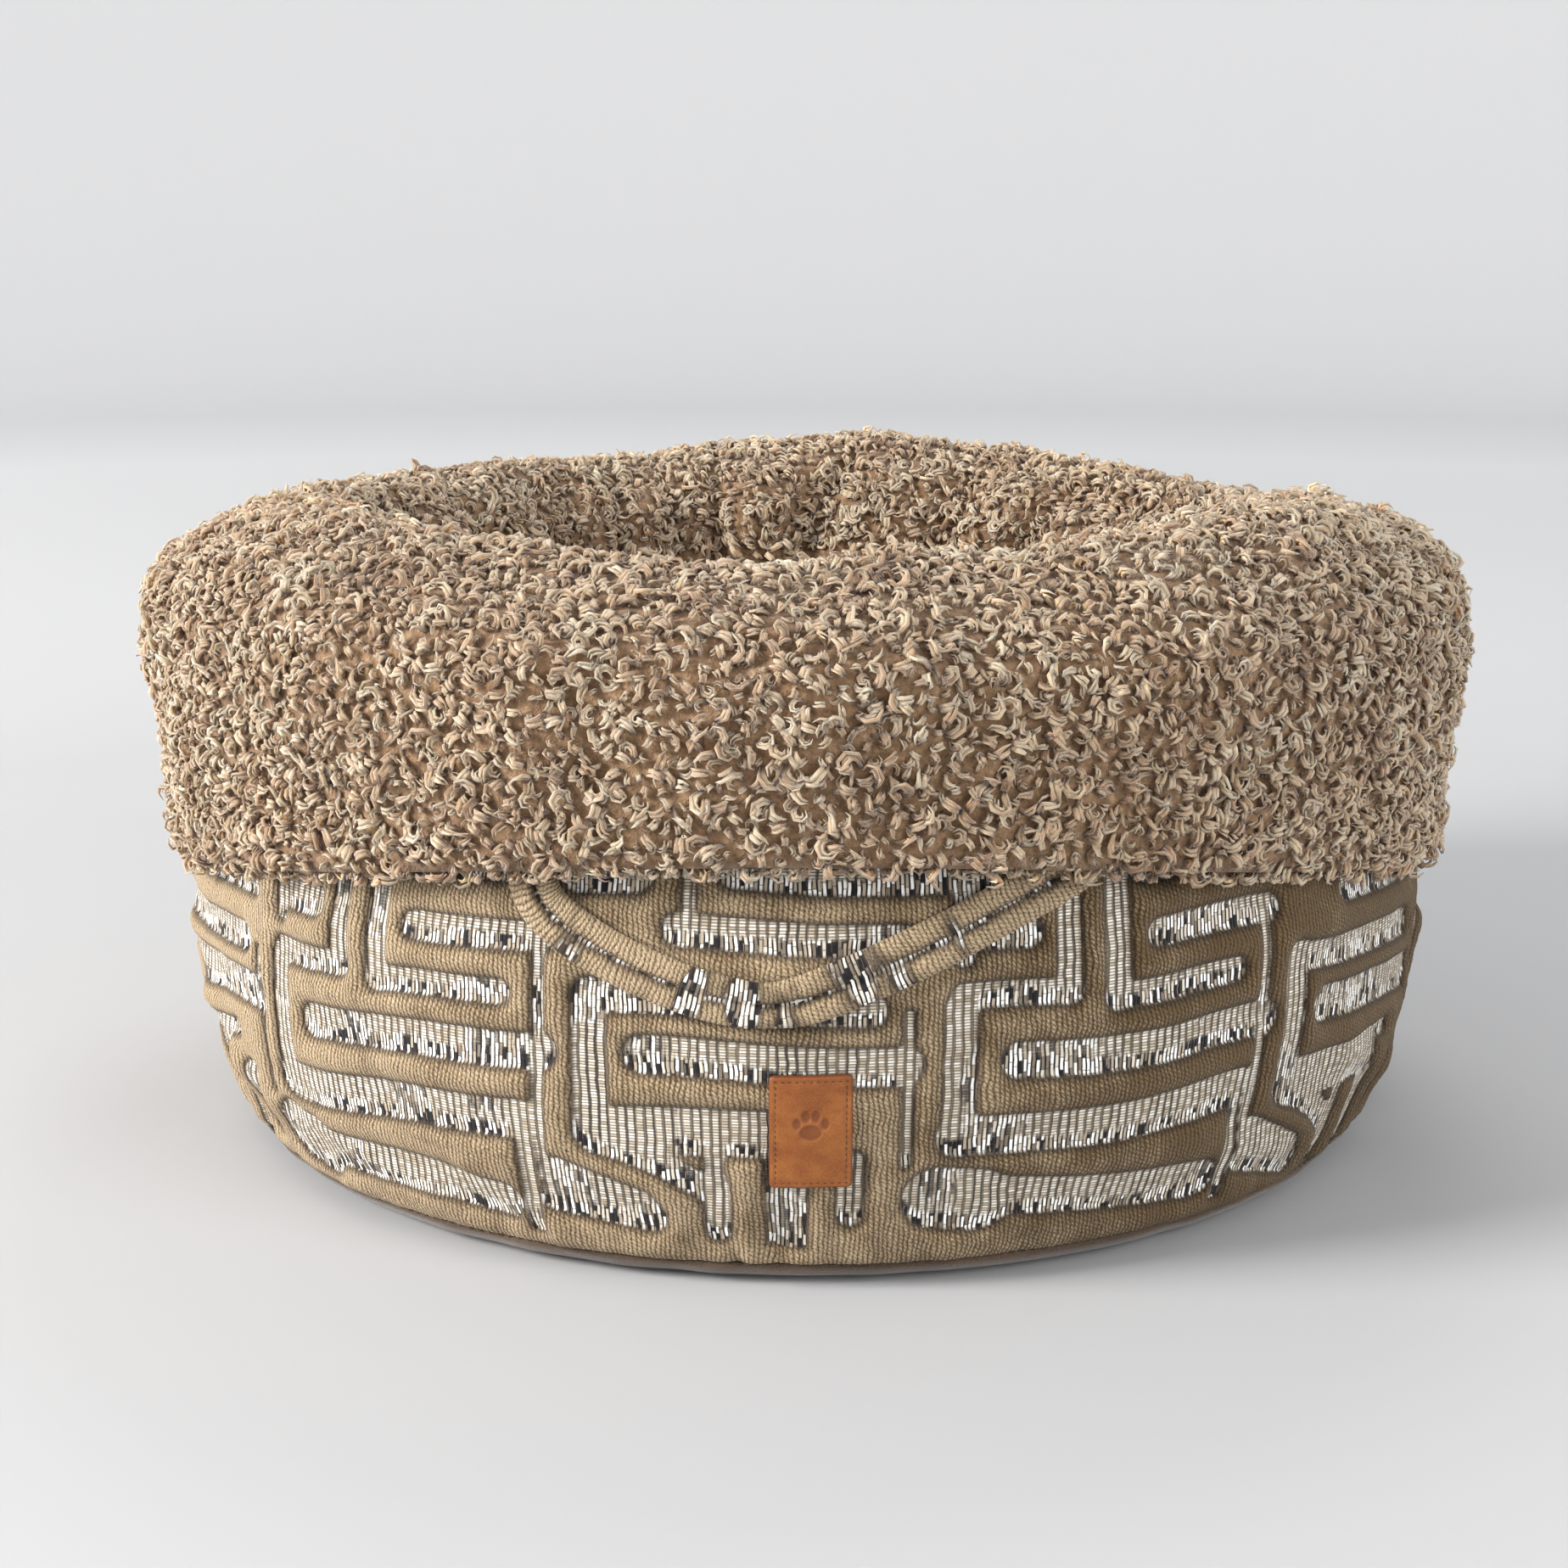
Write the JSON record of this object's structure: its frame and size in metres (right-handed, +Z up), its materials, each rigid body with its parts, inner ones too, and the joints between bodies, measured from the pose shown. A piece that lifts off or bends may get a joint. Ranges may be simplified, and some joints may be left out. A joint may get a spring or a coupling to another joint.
{
  "type": "pet cushion bed",
  "caption": "Round pet bed with a stuffed wall turned down into a curly fur cuff, patterned velvet outside, carrying handles and a loose zipped cushion.",
  "frame": {"origin": "centre of the flat underside, on the floor", "axes": "+Z up along the axis of the round bed; the leather label and the front handle face -Y; +X to the right as seen from the front"},
  "size_m": [0.55, 0.55, 0.262],
  "materials": {
    "brown_cloth": "matt woven cloth",
    "wadding": "loose polyester wadding",
    "fur": "curly faux sheepskin, short tight locks",
    "patterned_cloth": "ribbed cloth with slub yarns and a raised cut-velvet pattern",
    "hem_cloth": "matt plain-weave cloth",
    "thread": "polyester sewing thread",
    "leather": "vegetable-tanned leather with dark edges",
    "label_thread": "waxed thread",
    "webbing": "cotton webbing",
    "zip_tape": "woven zip tape",
    "zip_metal": "dull nickel"
  },
  "bodies": {
    "nest": {"base_panel": "brown_cloth", "base_wadding": "wadding", "floor_lining": "fur", "front_wall_panel": "patterned_cloth", "back_wall_panel": "patterned_cloth", "wall_wadding": "wadding", "front_fur_lining": "fur", "back_fur_lining": "fur", "cuff_wadding": "wadding", "cuff_hem_tape": "hem_cloth", "base_seam_thread": "thread", "side_seam_threads": "thread", "leather_label": "leather", "label_stitches": "label_thread", "front_handle_ends": "patterned_cloth", "back_handle_ends": "patterned_cloth", "front_handle_bartacks": "thread", "back_handle_bartacks": "thread"},
    "front_handle": {"front_handle_cover": "patterned_cloth", "front_handle_core": "webbing"},
    "back_handle": {"back_handle_cover": "patterned_cloth", "back_handle_core": "webbing"},
    "cushion": {"cushion_top_cover": "fur", "cushion_bottom_cover": "hem_cloth", "cushion_fill": "wadding", "cushion_seam_thread": "thread", "zip_tape": "zip_tape", "zip_teeth": "zip_metal", "zip_stops": "zip_metal"},
    "zip_slider": {"zip_slider": "zip_metal"},
    "zip_pull": {"zip_pull": "zip_metal"}
  },
  "joints": [
    {"name": "front_handle_swing", "type": "hinge", "parent": "nest", "child": "front_handle", "pos_m": [0, -0.24727, 0.15618], "axis": [-1, 0, 0], "range_deg": [0, 70]},
    {"name": "back_handle_swing", "type": "hinge", "parent": "nest", "child": "back_handle", "pos_m": [0, 0.24727, 0.15618], "axis": [1, 0, 0], "range_deg": [0, 70]},
    {"name": "cushion_lift", "type": "slide", "parent": "nest", "child": "cushion", "axis": [0, 0, 1], "range_m": [0, 0.3]},
    {"name": "zip_run", "type": "hinge", "parent": "cushion", "child": "zip_slider", "pos_m": [0, 0, 0.05], "axis": [0, 0, 1], "range_deg": [0, 165]},
    {"name": "zip_pull_swing", "type": "hinge", "parent": "zip_slider", "child": "zip_pull", "pos_m": [0.15285, 0, 0.0537], "axis": [0, -1, 0], "range_deg": [0, 80]}
  ]
}
